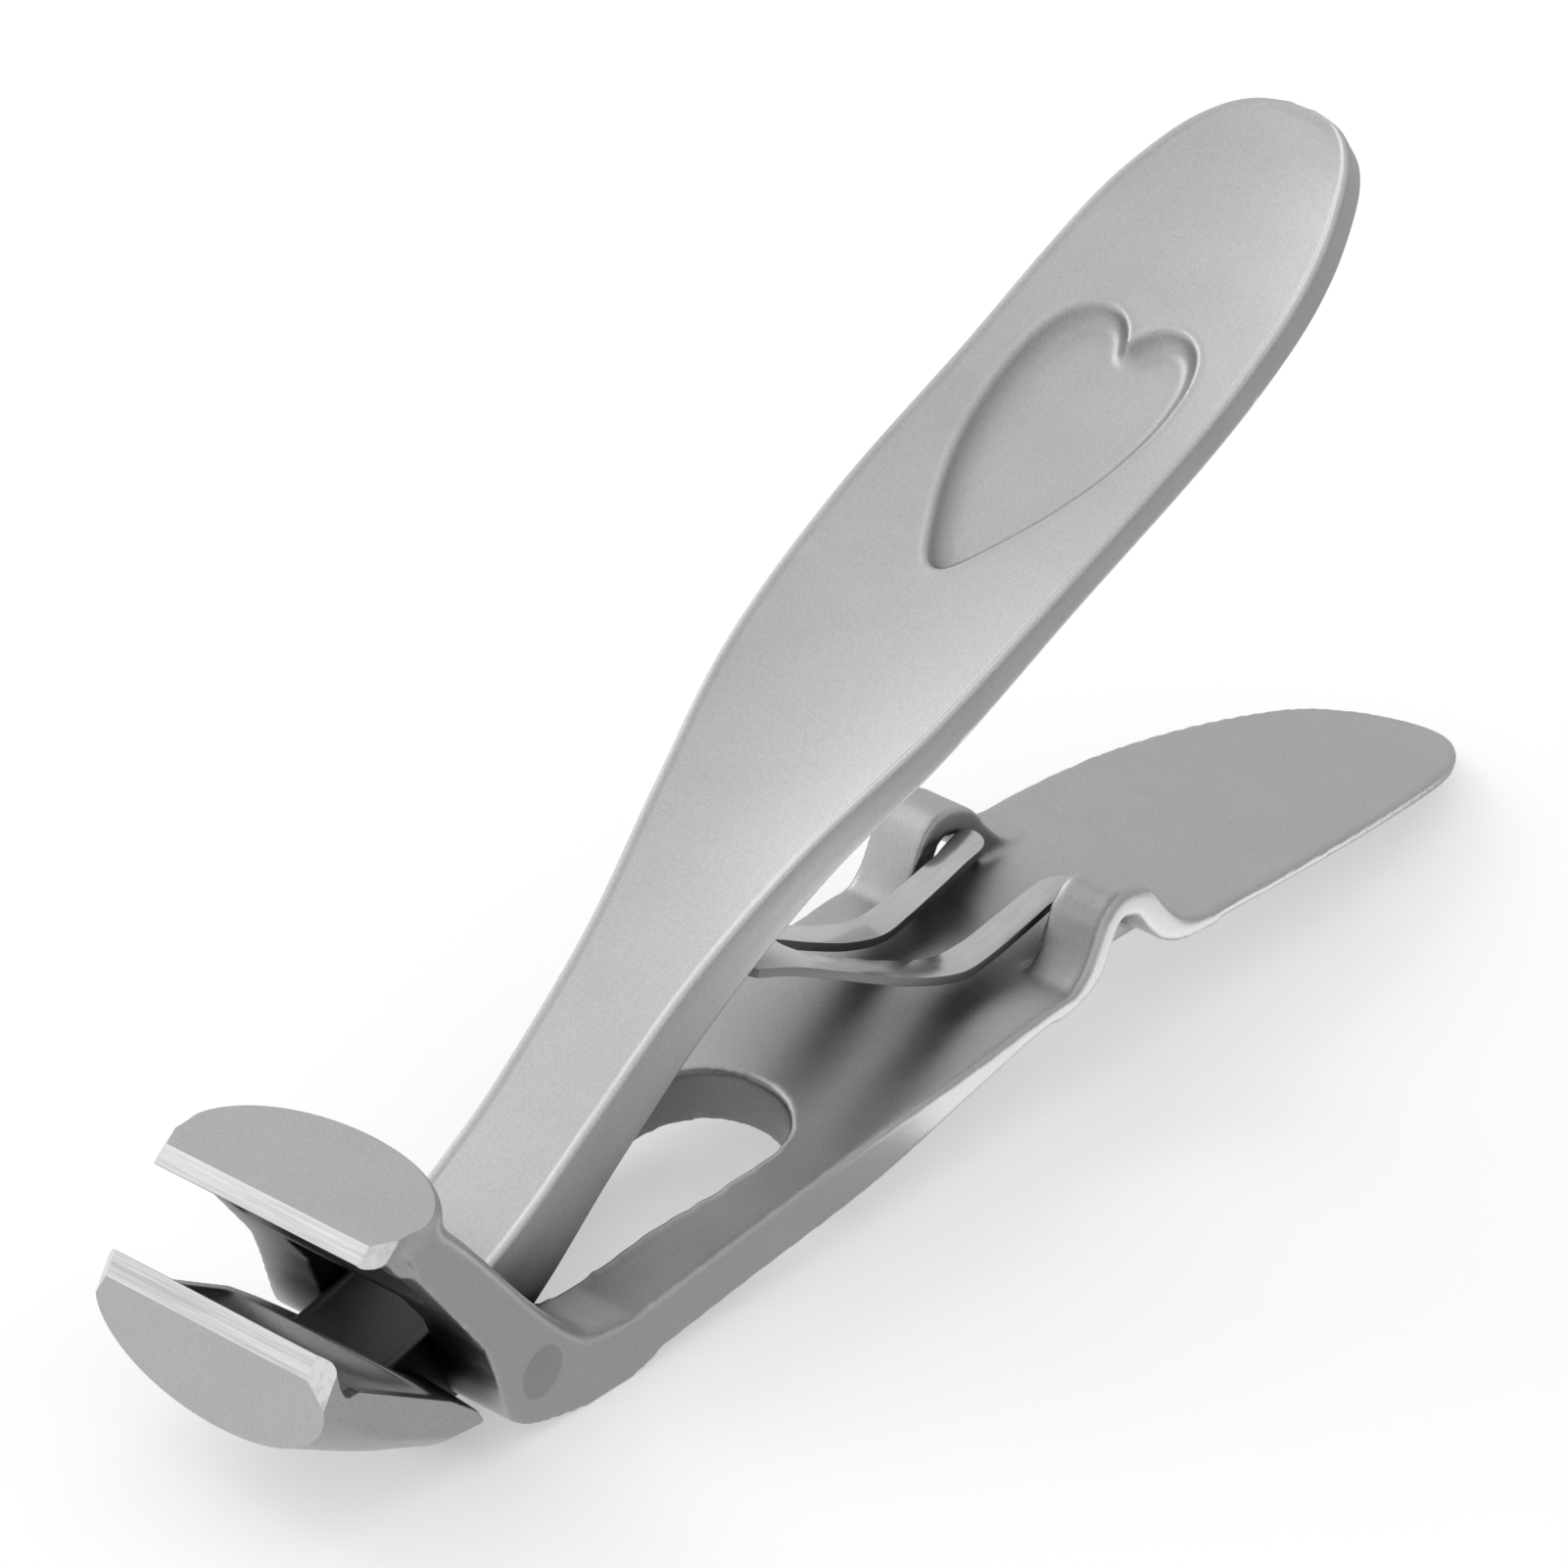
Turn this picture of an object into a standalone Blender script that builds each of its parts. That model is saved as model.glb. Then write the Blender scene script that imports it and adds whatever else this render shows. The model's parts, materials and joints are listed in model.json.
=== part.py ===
"""Plier-style nail clipper: a lower handle with the head and upper jaw, a thumb
lever with the lower jaw, the pivot pin and the leaf spring between them.

Every length below is in millimetres from the pivot's centre: +X towards the handle
ends, +Y along the pivot, +Z up from the table. The objects sit at PIVOT in metres.
"""
import math

import bmesh
import bpy
from mathutils import Vector

MM = 0.001
PIVOT = (-0.03533, 0.0, 0.00385)

HALF_WIDTH = 8.0
GAP = 0.3

PIN_RADIUS = 1.5
PIN_SIDES = 32
WALL_HOLE_RADIUS = 1.65
LEVER_HOLE_RADIUS = 1.8

NECK_HALF_WIDTH = 3.3
SLOT_HALF_WIDTH = NECK_HALF_WIDTH + GAP
WINDOW_END_X = 26.2
WINDOW_RADIUS = 4.5

REST_Z = -3.85
LOWEST_FREE_Z = -3.6
JAW_TOP_Z = 12.42
JAW_UNDER_Z = 9.9
UPPER_EDGE = (-12.51, 11.61)
UPPER_BAND = (-11.53, JAW_TOP_Z)
LOWER_EDGE = (-15.21, 7.95)
LOWER_BAND = (-15.85, 6.78)
EDGE_HALF_WIDTH = 6.7
LOWER_JAW_HALF_WIDTH = 7.6
UPPER_FACET_END = (-10.26, 7.35, JAW_TOP_Z)
UPPER_JAW_HALF_WIDTH = 7.4
LOWER_FACET_END = (-15.68, 7.5, 5.45)

LOOP_INNER_Y = 4.4
LOOP_OUTER_Y = HALF_WIDTH - 0.04
LOOP_FRONT_X = 42.9
LOOP_REAR_X = 53.0

SPRING_THICKNESS = 0.55
SPRING_HALF_WIDTH = 3.9

HEART_TIP = (38.5, 27.98)
HEART_SLOPE = math.radians(22.2)
HEART_LENGTH = 18.9
HEART_HALF_WIDTH = 5.15
HEART_DEPTH = 0.95

# Each station across the lower handle: x, top z, bottom z, half width.
HANDLE_STATIONS = [
    (4.5, -0.75, -3.6, 8.0),
    (8.0, -0.35, -3.6, 8.0),
    (16.0, 0.56, -2.7, 8.0),
    (26.0, 1.55, -1.6, 8.0),
    (34.5, 2.16, 0.2, 8.0),
    (42.0, 2.8, 1.45, 8.0),
    (54.2, 2.67, 1.37, 8.0),
    (63.6, 2.12, 1.0, 7.9),
    (72.0, 1.08, 0.0, 7.05),
    (79.3, -0.23, -1.35, 5.6),
    (83.0, -1.2, -2.4, 3.95),
    (85.2, -1.95, -3.1, 2.3),
    (86.2, -2.35, -3.6, 1.1),
    (86.5, -2.5, -3.85, 0.3),
]

# Each station along the lever: top x, top z, bottom x, bottom z, half width.
LEVER_STATIONS = [
    (-6.2, 1.05, -5.6, -2.6, 3.3),
    (-2.2, 2.0, -2.4, -3.3, 3.3),
    (1.9, 3.7, 1.2, -3.0, 3.3),
    (5.2, 5.6, 5.7, 0.0, 3.3),
    (9.1, 8.3, 11.5, 4.95, 3.3),
    (16.1, 13.68, 18.3, 10.7, 3.75),
    (23.0, 18.85, 24.75, 16.35, 5.19),
    (30.85, 23.55, 32.05, 21.35, 7.06),
    (40.1, 28.29, 40.96, 26.38, 7.8),
    (50.7, 32.95, 51.6, 31.05, 7.91),
    (57.3, 36.43, 58.4, 34.55, 7.72),
    (61.5, 39.0, 62.7, 37.1, 7.1),
    (65.1, 41.2, 66.4, 39.25, 5.75),
    (67.2, 42.3, 68.6, 40.35, 4.4),
    (68.4, 42.85, 69.8, 40.95, 2.9),
    (68.9, 43.1, 70.4, 41.2, 1.0),
]


def clear_scene():
    for obj in list(bpy.data.objects):
        bpy.data.objects.remove(obj, do_unlink=True)


def steel(name, grey, roughness):
    material = bpy.data.materials.new(name)
    material.use_nodes = True
    shader = material.node_tree.nodes["Principled BSDF"]
    shader.inputs["Base Color"].default_value = (grey, grey, grey, 1.0)
    shader.inputs["Metallic"].default_value = 1.0
    shader.inputs["Roughness"].default_value = roughness
    return material


def spline(points, steps):
    """A Catmull-Rom curve through points of any dimension, steps per span."""
    out = []
    last = len(points) - 1
    for i in range(last):
        a = points[max(i - 1, 0)]
        b = points[i]
        c = points[i + 1]
        d = points[min(i + 2, last)]
        for k in range(steps):
            t = k / steps
            out.append(tuple(catmull(p, t) for p in zip(a, b, c, d)))
    out.append(tuple(points[-1]))
    return out


def catmull(values, t):
    a, b, c, d = values
    slope_b = (c - a) / 2.0
    slope_c = (d - b) / 2.0
    h1 = 2 * t**3 - 3 * t**2 + 1
    h2 = t**3 - 2 * t**2 + t
    h3 = t**3 - t**2
    return h1 * b + h2 * slope_b + (1 - h1) * c + h3 * slope_c


def make_object(name, rings, material):
    """A closed solid lofted through rings of equal length, with flat end caps."""
    mesh = bpy.data.meshes.new(name)
    bm = bmesh.new()
    loops = [[bm.verts.new([c * MM for c in p]) for p in ring] for ring in rings]
    count = len(loops[0])
    for low, high in zip(loops, loops[1:]):
        for i in range(count):
            j = (i + 1) % count
            bm.faces.new((low[i], low[j], high[j], high[i]))
    bm.faces.new(loops[0])
    bm.faces.new(loops[-1])
    bmesh.ops.recalc_face_normals(bm, faces=bm.faces)
    bm.to_mesh(mesh)
    bm.free()
    mesh.materials.append(material)
    obj = bpy.data.objects.new(name, mesh)
    obj.location = PIVOT
    bpy.context.scene.collection.objects.link(obj)
    return obj


def prism_y(name, outline, y_low, y_high, material):
    rings = [[(x, y, z) for x, z in outline] for y in (y_low, y_high)]
    return make_object(name, rings, material)


def prism_z(name, outline, z_low, z_high, material):
    rings = [[(x, y, z) for x, y in outline] for z in (z_low, z_high)]
    return make_object(name, rings, material)


def circle(radius, sides):
    turn = 2 * math.pi / sides
    return [(radius * math.cos(turn * i), radius * math.sin(turn * i)) for i in range(sides)]


def combine(target, tool, operation):
    tool.hide_render = True
    tool.display_type = "WIRE"
    modifier = target.modifiers.new(tool.name, "BOOLEAN")
    modifier.operation = operation
    modifier.solver = "EXACT"
    modifier.object = tool


def smooth(obj, angle_deg):
    for polygon in obj.data.polygons:
        polygon.use_smooth = True
    obj.data.set_sharp_from_angle(angle=math.radians(angle_deg))


def ribbon(path):
    """The outline of a strip whose upper side follows path, a list of x, z and thickness."""
    under = []
    for i, (x, z, thickness) in enumerate(path):
        x0, z0 = path[max(i - 1, 0)][:2]
        x1, z1 = path[min(i + 1, len(path) - 1)][:2]
        length = math.hypot(x1 - x0, z1 - z0)
        under.append((x + (z1 - z0) / length * thickness, z - (x1 - x0) / length * thickness))
    return [(x, z) for x, z, _ in path] + under[::-1]


def handle_ring(station):
    """A section across the lower handle; its lower corners are cut back further to the rear."""
    x, top, bottom, half = station
    corner = min(0.9, half / 2)
    edge = 0.12
    rearward = min(max((x - 30.0) / 26.0, 0.0), 1.0)
    foot = bottom + 0.35 + (top - bottom - 0.95) * rearward
    side = [(half - edge, top), (half, top - edge), (half, foot), (half - corner, bottom)]
    left = [(-y, z) for y, z in side]
    return [(x, y, z) for y, z in side + left[::-1]]


def handle_slab(material):
    rings = [handle_ring(s) for s in spline(HANDLE_STATIONS, 3)]
    return make_object("handle_body", rings, material)


def head_outline(inset):
    """Side view of the head walls; inset pulls the free edges in to break them."""
    back = [(-7.5, 12.15), (-4.94, 9.57), (0.0, 3.82), (2.83, 0.95), (4.6, -0.1), (7.5, -0.45), (9.0, -0.6)]
    fade = [1.0, 1.0, 1.0, 0.9, 0.4, 0.0, 0.0]
    rear = spline([(x - 0.77 * inset * f, z - 0.64 * inset * f) for (x, z), f in zip(back, fade)], 4)
    under = [(9.0, -3.45), (7.2, REST_Z), (3.4, REST_Z)]
    nose = spline([(1.8, -3.55), (-0.6, -2.9), (-2.2, -1.9), (-2.8, -0.6), (-3.46, 1.4)], 3)
    front = [(-4.26, 3.31), (-9.4 + 0.3 * inset, 9.7), (-9.5, 10.6), (-9.9, 11.3), (-10.2, 12.15 - inset)]
    return rear + under + nose + front


def head_walls(material):
    rings = []
    for y, inset in ((-HALF_WIDTH, 0.8), (-7.2, 0.0), (7.2, 0.0), (HALF_WIDTH, 0.8)):
        rings.append([(x, y, z) for x, z in head_outline(inset)])
    return make_object("head_walls", rings, material)


def jaw_plan(front, swell):
    """Plan of the upper jaw; swell is how far its rim has rounded out from the D-shaped top."""
    half = UPPER_JAW_HALF_WIDTH
    rear = []
    for a in [math.pi * (i / 16 - 0.5) for i in range(17)]:
        x = -4.45 - 5.0 * (1.0 - max(math.cos(a), 0.0) ** 0.91)
        grow = swell * min(max((x + 9.9) / 1.6, 0.0), 1.0)
        rear.append((x + grow * math.cos(a), (half + grow) * math.sin(a)))
    ends = [(front, EDGE_HALF_WIDTH), (max(-10.4, front + 0.6), half)]
    return [(x, -y) for x, y in ends] + rear + ends[::-1]


def jaw_cap(material):
    """The upper jaw, which joins the two walls: its nose leads up to the cutting edge."""
    levels = [(JAW_UNDER_Z, -9.9, 0.6), (11.3, -10.9, 0.6), (UPPER_EDGE[1], UPPER_EDGE[0], 0.6),
              (12.1, -11.92, 0.45), (JAW_TOP_Z, UPPER_BAND[0], 0.0)]
    rings = [[(x, y, z) for x, y in jaw_plan(front, swell)] for z, front, swell in levels]
    return make_object("jaw_cap", rings, material)


def corner_cutter(side, edge, band, end, material):
    """A wedge that grinds one outer corner off a cutting edge.

    Its flat runs through the edge's corner, the ground band's corner and the point end.
    """
    start = Vector((band[0], side * EDGE_HALF_WIDTH, band[1]))
    across = Vector((end[0], side * end[1], end[2])) - start
    along = Vector((edge[0] - band[0], 0.0, edge[1] - band[1]))
    outward = along.cross(across)
    if outward.y * side < 0.0:
        outward = -outward
    outward = outward.normalized() * 3.0
    corners = [start - across, start + across * 3.0, start + across * 3.0 + outward, start - across + outward]
    rings = [[tuple(c + along * k) for c in corners] for k in (-2.0, 2.6)]
    return make_object("corner_cut", rings, material)


def window_outline():
    """Plan of the opening that the lever's neck passes through."""
    centre = WINDOW_END_X - WINDOW_RADIUS
    bend = [(centre + WINDOW_RADIUS * math.sin(a), -WINDOW_RADIUS * math.cos(a))
            for a in [math.pi * i / 12 for i in range(13)]]
    near = spline([(-6.0, -SLOT_HALF_WIDTH), (11.0, -SLOT_HALF_WIDTH), (17.0, -4.2), bend[0]], 3)
    far = [(x, -y) for x, y in near[:-1]]
    return near[:-1] + bend + far[::-1]


def loop_path():
    """Side view of the raised strip beside a leg of the spring: x, top z and thickness."""
    return spline([(41.0, 2.4, 0.9), (42.7, 2.87, 1.2), (43.7, 3.75, 1.6), (44.85, 6.15, 1.6),
                   (46.8, 7.25, 1.6), (48.9, 6.55, 1.6), (50.75, 4.5, 1.6), (52.6, 3.1, 1.3),
                   (53.9, 2.78, 1.1), (55.5, 2.3, 0.8)], 2)


def build_handle(material):
    body = handle_slab(material)
    combine(body, head_walls(material), "UNION")
    combine(body, jaw_cap(material), "UNION")
    slot = prism_z("neck_window", window_outline(), -6.0, JAW_UNDER_Z + 0.7, material)
    combine(body, slot, "DIFFERENCE")
    pocket = [(-10.0, 11.0), (-8.4, 11.0), (-6.6, 10.5), (-6.6, 5.0), (-12.0, 5.0)]
    combine(body, prism_y("jaw_pocket", pocket, -6.2, 6.2, material), "DIFFERENCE")
    for side in (-1, 1):
        grind = corner_cutter(side, UPPER_EDGE, UPPER_BAND, UPPER_FACET_END, material)
        combine(body, grind, "DIFFERENCE")
        lows = sorted((side * (LOOP_INNER_Y - 0.2), side * 9.0))
        gap = [(LOOP_FRONT_X, -2.0), (LOOP_REAR_X + 1.2, -2.0), (LOOP_REAR_X + 0.5, 1.6),
               (LOOP_REAR_X, 6.0), (LOOP_FRONT_X, 6.0)]
        combine(body, prism_y("loop_gap", gap, lows[0], lows[1], material), "DIFFERENCE")
        rim = sorted((side * LOOP_INNER_Y, side * LOOP_OUTER_Y))
        combine(body, prism_y("loop", ribbon(loop_path()), rim[0], rim[1], material), "UNION")
    pin_hole = prism_y("pin_hole", circle(WALL_HOLE_RADIUS, PIN_SIDES), -9.0, 9.0, material)
    combine(body, pin_hole, "DIFFERENCE")
    smooth(body, 30.0)
    return body


def lever_ring(station):
    """A section across the lever: a fine raised rim above a shallow dish."""
    top_x, top_z, low_x, low_z, half = station
    thick = math.hypot(low_x - top_x, low_z - top_z)
    down = ((low_x - top_x) / thick, (low_z - top_z) / thick)
    edge = min(0.15, half / 4)
    dish = 0.12 if half > 3.35 else 0.0
    side = [(half - 4 * edge, dish), (half - 2 * edge, 0.0), (half - edge, 0.0), (half, edge),
            (half, thick - 2 * edge), (half - 3 * edge, thick)]
    left = [(-y, n) for y, n in side]
    return [(top_x + down[0] * n, y, top_z + down[1] * n) for y, n in side + left[::-1]]


def heart_outline():
    """Half and mirrored half of the heart, as distances along its axis and across."""
    half = spline([(-0.05, 0.0), (0.25, 0.65), (1.5, 1.52), (4.3, 2.95), (9.0, 4.58), (13.5, HEART_HALF_WIDTH),
                   (16.9, 4.7), (HEART_LENGTH, 2.6), (18.5, 1.0), (17.15, 0.0)], 3)
    mirrored = [(s, -y) for s, y in half[1:-1]]
    return half + mirrored[::-1]


def heart_cutter(material):
    rings = []
    for depth, shrink in ((-HEART_DEPTH, 0.84), (0.9, 1.15)):
        ring = []
        for s, y in heart_outline():
            along = 10.0 + (s - 10.0) * shrink
            x = HEART_TIP[0] + along * math.cos(HEART_SLOPE) - depth * math.sin(HEART_SLOPE)
            z = HEART_TIP[1] + along * math.sin(HEART_SLOPE) + depth * math.cos(HEART_SLOPE)
            ring.append((x, y * shrink, z))
        rings.append(ring)
    return make_object("heart_cut", rings, material)


def rim_z(x):
    """Height of the lower jaw's straight side rim."""
    return 5.1 - 0.585 * (x + 13.0)


def lower_jaw_ring(y):
    """A side-view section of the lower jaw at one distance from the middle."""
    fullness = math.sqrt(1.0 - (abs(y) / 8.4) ** 3)
    face_end = 5.4 - 4.75 * math.sqrt(1.0 - (abs(y) / LOWER_JAW_HALF_WIDTH) ** 2)
    face_x = LOWER_BAND[0] + 0.131 * (LOWER_BAND[1] - face_end)
    taper = 1.0 * (abs(y) / LOWER_JAW_HALF_WIDTH) ** 2
    belly = [(-11.4, 5.1), (-7.8, 4.5), (-5.2 - taper, 4.0), (-3.2 - taper, 2.3)]
    under = [(x, max(rim_z(x) - depth * fullness, LOWEST_FREE_Z)) for x, depth in belly]
    tail = [(-2.8 - taper, -1.6 + 0.3 * taper), (-3.3 - taper, -0.9 + 0.5 * taper)]
    rim = [(-6.2, rim_z(-6.2)), (-13.0, rim_z(-13.0)), (-14.0, 5.5), (-14.4, 7.3)]
    outline = [LOWER_EDGE, LOWER_BAND, (face_x, face_end)] + under + tail + rim
    return [(x, y, z) for x, z in outline]


def build_lower_jaw(material):
    half = [7.6, 7.45, 7.1, 6.4, 5.2, 3.6, 1.8]
    stations = [-y for y in half] + [0.0] + half[::-1]
    return make_object("lower_jaw", [lower_jaw_ring(y) for y in stations], material)


def dish_cutter(material):
    """The hollow behind the lower cutting edge, shallower towards its two sides."""
    rings = []
    for y in (-6.7, -5.6, -3.4, 0.0, 3.4, 5.6, 6.7):
        depth = 2.4 * math.sqrt(1.0 - (abs(y) / 7.0) ** 2)
        floor = [(x, rim_z(x) - depth * d + 0.1) for x, d in ((-7.6, 0.55), (-9.6, 0.95), (-12.2, 1.0))]
        outline = [(-6.5, rim_z(-6.5) + 0.1)] + floor + [(-14.0, 5.4), (-14.35, 7.3), (-13.0, 9.0), (-5.0, 4.5)]
        rings.append([(x, y, z) for x, z in outline])
    return make_object("jaw_dish", rings, material)


def build_lever(material):
    rings = [lever_ring(s) for s in spline(LEVER_STATIONS, 3)]
    lever = make_object("thumb_lever", rings, material)
    jaw = build_lower_jaw(material)
    combine(jaw, dish_cutter(material), "DIFFERENCE")
    combine(lever, jaw, "UNION")
    for side in (-1, 1):
        grind = corner_cutter(side, LOWER_EDGE, LOWER_BAND, LOWER_FACET_END, material)
        combine(lever, grind, "DIFFERENCE")
    combine(lever, heart_cutter(material), "DIFFERENCE")
    pin_hole = prism_y("lever_pin_hole", circle(LEVER_HOLE_RADIUS, PIN_SIDES), -5.0, 5.0, material)
    combine(lever, pin_hole, "DIFFERENCE")
    smooth(lever, 30.0)
    return lever


def build_pin(material):
    pin = prism_y("pivot_pin", circle(PIN_RADIUS, PIN_SIDES), -HALF_WIDTH, HALF_WIDTH, material)
    smooth(pin, 30.0)
    return pin


def spring_path():
    """Side view of the spring's upper side, from the leg tips to the lever."""
    bend = spline([(48.2, 5.75), (46.1, 5.6), (43.4, 5.05), (40.4, 4.5), (38.1, 4.5), (35.0, 5.55),
                   (31.7, 7.1), (28.0, 9.05)], 3)
    return bend + [(24.0, 11.1), (21.0, 12.5)]


def spring_slot():
    """Plan of the slot that parts the spring into two legs."""
    half = [(50.0, 2.9), (48.0, 2.8), (46.0, 2.3), (41.0, 1.9), (35.0, 1.3), (29.2, 0.9)]
    nose = [(29.0 - 0.85 * math.sin(a), 0.85 * math.cos(a)) for a in [math.pi * i / 8 for i in range(1, 8)]]
    return half + nose + [(x, -y) for x, y in half[::-1]]


def build_spring(material):
    path = spring_path()
    outline = ribbon([(x, z, SPRING_THICKNESS) for x, z in path[::-1]])
    spring = prism_y("leaf_spring", outline, -SPRING_HALF_WIDTH, SPRING_HALF_WIDTH, material)
    combine(spring, prism_z("leg_slot", spring_slot(), 0.0, 15.0, material), "DIFFERENCE")
    smooth(spring, 30.0)
    return spring


def build():
    clear_scene()
    satin = steel("satin_steel", 0.42, 0.38)
    polished = steel("polished_steel", 0.5, 0.2)
    rivet = steel("rivet_steel", 0.36, 0.42)
    build_handle(satin)
    build_lever(satin)
    build_pin(rivet)
    build_spring(polished)


build()
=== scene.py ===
"""Looks for the plier-style nail clipper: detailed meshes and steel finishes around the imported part."""
import json
import math

import bmesh
import bpy
import numpy as np
from mathutils import Matrix, Vector


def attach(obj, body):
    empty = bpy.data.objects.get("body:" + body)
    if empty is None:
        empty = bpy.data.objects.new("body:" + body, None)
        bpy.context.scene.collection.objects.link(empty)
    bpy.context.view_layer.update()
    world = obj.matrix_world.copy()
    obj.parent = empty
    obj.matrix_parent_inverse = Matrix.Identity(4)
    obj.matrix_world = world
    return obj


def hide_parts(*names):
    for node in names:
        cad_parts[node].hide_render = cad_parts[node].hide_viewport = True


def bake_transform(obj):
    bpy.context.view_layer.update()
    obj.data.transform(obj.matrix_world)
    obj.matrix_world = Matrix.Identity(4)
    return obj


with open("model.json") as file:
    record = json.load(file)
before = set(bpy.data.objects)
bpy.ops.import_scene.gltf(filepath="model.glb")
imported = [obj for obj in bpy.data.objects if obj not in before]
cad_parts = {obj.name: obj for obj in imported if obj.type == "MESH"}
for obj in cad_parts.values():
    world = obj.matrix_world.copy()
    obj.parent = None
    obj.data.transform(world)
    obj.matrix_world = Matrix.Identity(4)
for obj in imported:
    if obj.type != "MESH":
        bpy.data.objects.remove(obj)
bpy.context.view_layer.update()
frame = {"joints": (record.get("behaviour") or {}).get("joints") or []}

MM = 0.001
PIVOT = Vector(frame["joints"][0]["pos_m"])

# Shapes below are in millimetres from the pivot's centre, as in the part itself.
HALF_WIDTH = 8.0
PIN_RADIUS = 1.5
SLOT_HALF_WIDTH = 3.6
WINDOW_END_X = 26.2
WINDOW_RADIUS = 4.5
WINDOW_FLARE_X = 11.0
WINDOW_FLARE_POINT = (17.0, -4.2)
REST_Z = -3.85
JAW_TOP_Z = 12.42
JAW_UNDER_Z = 9.9
UPPER_EDGE = (-12.51, 11.61)
UPPER_BAND = (-11.53, JAW_TOP_Z)
LOWER_EDGE = (-15.21, 7.95)
LOWER_BAND = (-15.85, 6.78)
LOWER_FACE_LEAN = 0.131
EDGE_HALF_WIDTH = 6.7
LOWER_JAW_HALF_WIDTH = 7.6
UPPER_FACET_END = (-10.26, 7.35, JAW_TOP_Z)
LOWER_FACET_END = (-15.68, 7.5, 5.45)
GRIND_ALLOWANCE = 0.25

LOOP_INNER_Y = 4.4
LOOP_OUTER_Y = HALF_WIDTH - 0.04
LOOP_FRONT_X = 42.9
LOOP_REAR_X = 53.0
LOOP_LEDGE = 0.6

SPRING_THICKNESS = 0.5
SPRING_HALF_WIDTH = 3.85
SPRING_BEND_STEP = 0.3
SPRING_EDGE_RADIUS = 0.09

HEART_TIP = (38.5, 27.98)
HEART_SLOPE = math.radians(22.2)
HEART_LENGTH = 18.9
HEART_HALF_WIDTH = 5.15
HEART_DEPTH = 0.95
HEART_COVE = 1.2

# The skin's cell size in metres, and the smoothing that keeps its volume.
BODY_VOXEL = 0.00021
JAW_VOXEL = 0.00011
SMOOTHING_ROUNDS = 24
SMOOTH_IN = 0.5
SMOOTH_OUT = -0.52

# Material slots of the meshes; slot 0 is each mesh's main finish.
BAND_SLOT = 1
FACET_SLOT = 2
FLAT_SLOT = 3
# The lever's front end, deep in the head, takes a much darker material: painted shade.
JOINT_SHADE_SLOT = 1
# The spring's side faces take a darker material: a shear-cut finish with painted shade.
SHEARED_SHADE_SLOT = 1
JOINT_END_X = -0.8

# Noise scales of the steel finishes, in cells per metre.
GRAIN_SCALE = 6500.0
WAVE_SCALE = 1500.0
CLOUD_SCALE = 260.0
PIT_SCALE = 210.0
PIT_SIZE = 0.028
DRAWN_SCALE = (300.0, 5000.0, 300.0)
SPRING_CLOUD_SCALE = 500.0
BAND_SCRATCHES = (9000.0, 160.0, 9000.0)
FACET_SCRATCHES = (400.0, 5000.0, 1800.0)
FACET_TURN = (0.5, 0.2, 0.0)
NO_TURN = (0.0, 0.0, 0.0)

# Tones that multiply the steel's grey, and the reach in metres of the painted shade in hollows.
# Painted shade on the walls inside the window and the head.
INNER_WALL_PAINTED_SHADE = 0.42
PAINTED_SHADE_REACH = 0.009
PAINTED_SHADE_TONE = 0.08
PIT_TONE = 0.45

SURROUND_LEVEL = 0.71
SURROUND_SLOPE = (-0.13, 0.14, 0.08)
SOFTBOX_PLACE = (-0.04, 0.44, 0.34)
SOFTBOX_TARGET = (0.0, 0.0, 0.02)
SOFTBOX_SIZE = (0.3, 0.25)
SOFTBOX_POWER = 0.3
EDGE_CARD_PLACE = (74.0, -15.5, 0.0)
EDGE_CARD_HEIGHT = 0.0005
EDGE_CARD_SIZE = (0.08, 0.012)
EDGE_CARD_POWER = 0.0034
FLOOR_DROP = 0.00002
FLOOR_GREY = 0.93
FLOOR_GLOW = 0.27

CAMERA_PLACE = (-260.8, -231.2, 233.6)
CAMERA_RIGHT = (0.6413, -0.7665, 0.0350)
CAMERA_UP = (0.3660, 0.3458, 0.8640)
CAMERA_BACK = (-0.6743, -0.5413, 0.5023)
CAMERA_LENS = 191.4
CAMERA_SENSOR = 36.0

# Each station across the lower handle: x, top z, bottom z, half width.
HANDLE_STATIONS = [
    (4.5, -0.75, -3.6, 8.0),
    (8.0, -0.35, -3.6, 8.0),
    (16.0, 0.56, -2.7, 8.0),
    (26.0, 1.55, -1.6, 8.0),
    (34.5, 2.16, 0.2, 8.0),
    (42.0, 2.8, 1.45, 8.0),
    (54.2, 2.67, 1.37, 8.0),
    (63.6, 2.12, 1.0, 7.9),
    (72.0, 1.08, 0.0, 7.05),
    (79.3, -0.23, -1.35, 5.6),
    (83.0, -1.2, -2.4, 3.95),
    (85.2, -1.95, -3.1, 2.3),
    (86.2, -2.35, -3.6, 1.1),
    (86.5, -2.5, -3.85, 0.3),
]

# Each station along the lever: top x, top z, bottom x, bottom z, half width.
LEVER_STATIONS = [
    (-6.2, 1.05, -5.6, -2.6, 3.3),
    (-2.2, 2.0, -2.4, -3.3, 3.3),
    (1.9, 3.7, 1.2, -3.0, 3.3),
    (5.2, 5.6, 5.7, 0.0, 3.3),
    (9.1, 8.3, 11.5, 4.95, 3.3),
    (16.1, 13.68, 18.3, 10.7, 3.75),
    (23.0, 18.85, 24.75, 16.35, 5.19),
    (30.85, 23.55, 32.05, 21.35, 7.06),
    (40.1, 28.29, 40.96, 26.38, 7.8),
    (50.7, 32.95, 51.6, 31.05, 7.91),
    (57.3, 36.43, 58.4, 34.55, 7.72),
    (61.5, 39.0, 62.7, 37.1, 7.1),
    (65.1, 41.2, 66.4, 39.25, 5.75),
    (67.2, 42.3, 68.6, 40.35, 4.4),
    (68.4, 42.85, 69.8, 40.95, 2.9),
    (68.9, 43.1, 70.4, 41.2, 1.0),
]


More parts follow.
